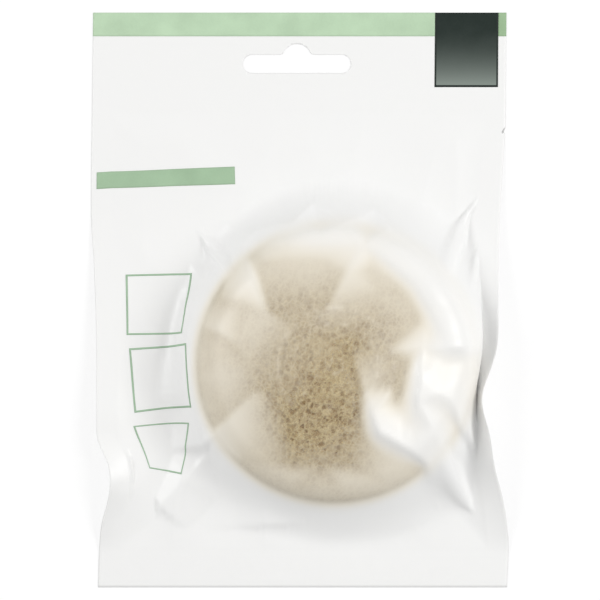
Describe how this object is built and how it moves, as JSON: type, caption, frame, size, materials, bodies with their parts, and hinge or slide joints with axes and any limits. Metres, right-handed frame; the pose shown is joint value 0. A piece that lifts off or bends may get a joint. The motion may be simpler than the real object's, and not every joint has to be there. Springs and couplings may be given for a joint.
{
  "type": "konjac sponge",
  "caption": "Half-ball facial cleansing sponge, heat-sealed in a flat frosted film pouch with a euro hang slot, a tear notch and a crimped bottom weld.",
  "frame": {"origin": "centre of the pouch's outline, on the table that its back lies on", "axes": "+X to the right of the printed face, +Y up the pouch towards its header, +Z out of the printed face"},
  "size_m": [0.12, 0.165, 0.025],
  "materials": {
    "sponge": "open-pored cream plant-fibre sponge",
    "frosted_film": "satin frosted polyethylene film, translucent",
    "welded_film": "satin frosted film, two webs welded",
    "green_ink": "printed sage green ink",
    "dark_ink": "printed dark green ink, paler towards its lower edge"
  },
  "bodies": {
    "root": {"konjac_sponge": "sponge", "front_film": "frosted_film", "back_film": "frosted_film", "header_weld": "welded_film", "bottom_weld": "welded_film", "left_weld": "welded_film", "right_weld": "welded_film", "header_band": "green_ink", "corner_patch": "dark_ink", "green_strip": "green_ink", "outlined_squares": "green_ink"}
  },
  "joints": []
}
